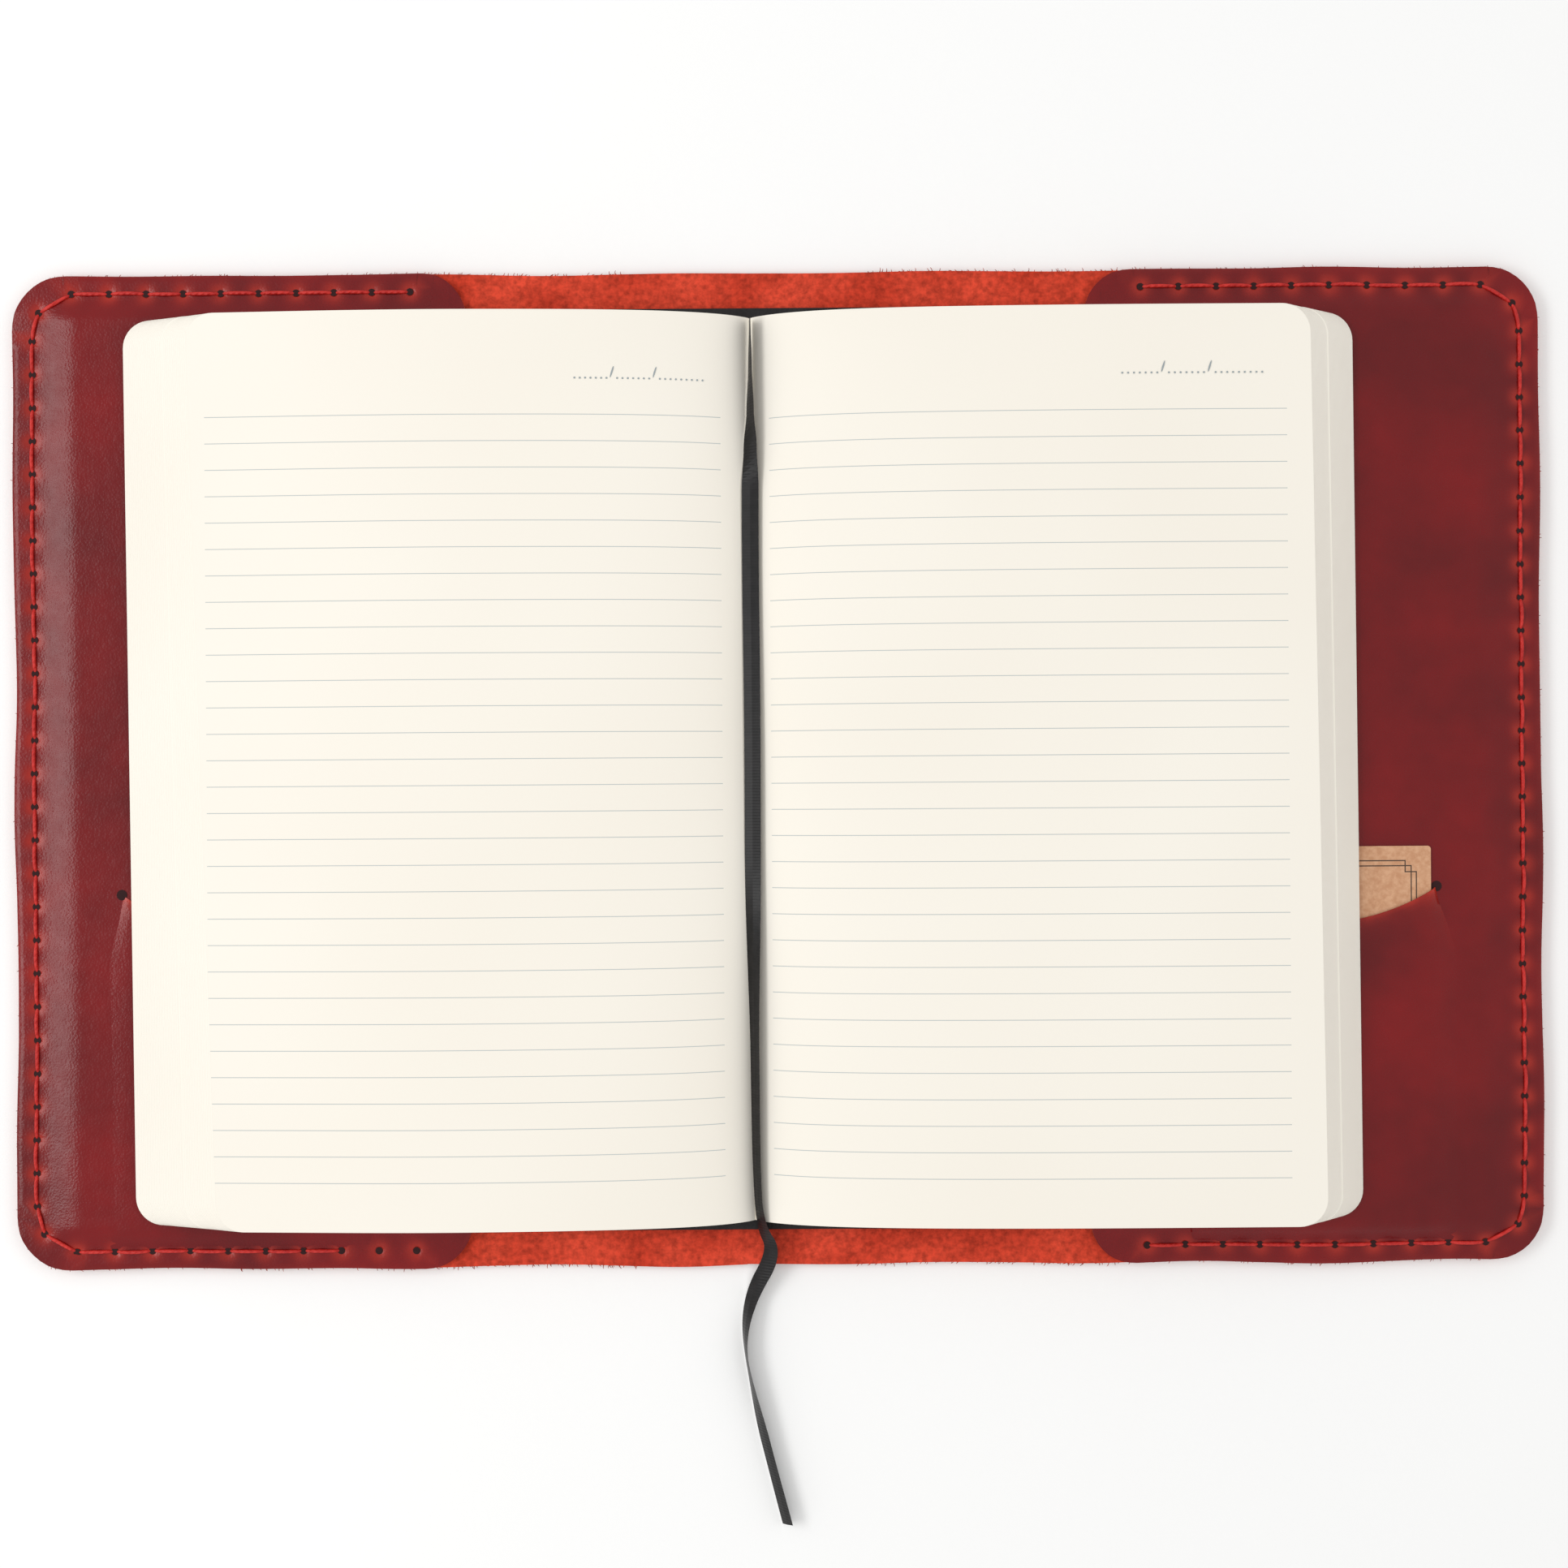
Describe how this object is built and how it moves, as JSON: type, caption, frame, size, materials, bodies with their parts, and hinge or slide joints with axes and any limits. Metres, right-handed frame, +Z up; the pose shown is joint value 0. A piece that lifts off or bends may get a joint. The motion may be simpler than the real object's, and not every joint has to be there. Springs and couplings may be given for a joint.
{
  "type": "notebook in leather cover",
  "caption": "Open ruled notebook in a stitched leather sleeve: folding covers, turning page sections, a card slot with a card, and a marker ribbon.",
  "frame": {"origin": "middle of the open sleeve, on its underside", "axes": "+X to the right-hand page, +Y to the head of the page, +Z up out of the open book"},
  "size_m": [0.3564, 0.2931, 0.0163],
  "materials": {
    "sleeve_leather": "undyed-edge vegetable leather, suede side in",
    "pocket_leather": "smooth waxed burgundy leather",
    "thread": "waxed linen thread",
    "case_leatherette": "fine grained black leatherette",
    "paper": "uncoated ivory paper",
    "kraft_card": "uncoated kraft card",
    "ribbon_satin": "black satin"
  },
  "bodies": {
    "spine": {"hide_spine": "sleeve_leather", "case_spine": "case_leatherette", "spine_lining": "paper", "ribbon": "ribbon_satin"},
    "cover_left": {"hide_left": "sleeve_leather", "pocket_left": "pocket_leather", "stitches_left": "thread", "board_left": "case_leatherette", "endpaper_left": "paper", "pages_left_0": "paper"},
    "leaves_left_1": {"pages_left_1": "paper"},
    "leaves_left_2": {"pages_left_2": "paper"},
    "leaves_left_3": {"pages_left_3": "paper"},
    "leaves_left_4": {"pages_left_4": "paper"},
    "cover_right": {"hide_right": "sleeve_leather", "pocket_right": "pocket_leather", "stitches_right": "thread", "board_right": "case_leatherette", "endpaper_right": "paper", "pages_right_0": "paper"},
    "leaves_right_1": {"pages_right_1": "paper"},
    "leaves_right_2": {"pages_right_2": "paper"},
    "leaves_right_3": {"pages_right_3": "paper"},
    "leaves_right_4": {"pages_right_4": "paper"},
    "card": {"card": "kraft_card"}
  },
  "joints": [
    {"name": "fold_left", "type": "hinge", "parent": "spine", "child": "cover_left", "pos_m": [-0.0219, 0, 0.00335], "axis": [0, 1, 0], "range_deg": [0, 90]},
    {"name": "turn_left_1", "type": "hinge", "parent": "spine", "child": "leaves_left_1", "pos_m": [-0.02028, 0, 0.00498], "axis": [0, 1, 0], "range_deg": [0, 90]},
    {"name": "turn_left_2", "type": "hinge", "parent": "spine", "child": "leaves_left_2", "pos_m": [-0.01865, 0, 0.0066], "axis": [0, 1, 0], "range_deg": [0, 90]},
    {"name": "turn_left_3", "type": "hinge", "parent": "spine", "child": "leaves_left_3", "pos_m": [-0.01702, 0, 0.00822], "axis": [0, 1, 0], "range_deg": [0, 90]},
    {"name": "turn_left_4", "type": "hinge", "parent": "spine", "child": "leaves_left_4", "pos_m": [-0.0154, 0, 0.00985], "axis": [0, 1, 0], "range_deg": [0, 90]},
    {"name": "fold_right", "type": "hinge", "parent": "spine", "child": "cover_right", "pos_m": [0.0059, 0, 0.00335], "axis": [0, -1, 0], "range_deg": [0, 90]},
    {"name": "turn_right_1", "type": "hinge", "parent": "spine", "child": "leaves_right_1", "pos_m": [0.00428, 0, 0.00498], "axis": [0, -1, 0], "range_deg": [0, 90]},
    {"name": "turn_right_2", "type": "hinge", "parent": "spine", "child": "leaves_right_2", "pos_m": [0.00265, 0, 0.0066], "axis": [0, -1, 0], "range_deg": [0, 90]},
    {"name": "turn_right_3", "type": "hinge", "parent": "spine", "child": "leaves_right_3", "pos_m": [0.00103, 0, 0.00822], "axis": [0, -1, 0], "range_deg": [0, 90]},
    {"name": "turn_right_4", "type": "hinge", "parent": "spine", "child": "leaves_right_4", "pos_m": [-0.0006, 0, 0.00985], "axis": [0, -1, 0], "range_deg": [0, 90]},
    {"name": "card_slide", "type": "slide", "parent": "cover_right", "child": "card", "axis": [0, 1, 0], "range_m": [0, 0.07]}
  ],
  "couplings": [
    {"joint": "turn_left_1", "follows": "fold_left", "ratio": 1},
    {"joint": "turn_left_2", "follows": "fold_left", "ratio": 1},
    {"joint": "turn_left_3", "follows": "fold_left", "ratio": 1},
    {"joint": "turn_left_4", "follows": "fold_left", "ratio": 1},
    {"joint": "turn_right_1", "follows": "fold_right", "ratio": 1},
    {"joint": "turn_right_2", "follows": "fold_right", "ratio": 1},
    {"joint": "turn_right_3", "follows": "fold_right", "ratio": 1},
    {"joint": "turn_right_4", "follows": "fold_right", "ratio": 1}
  ]
}
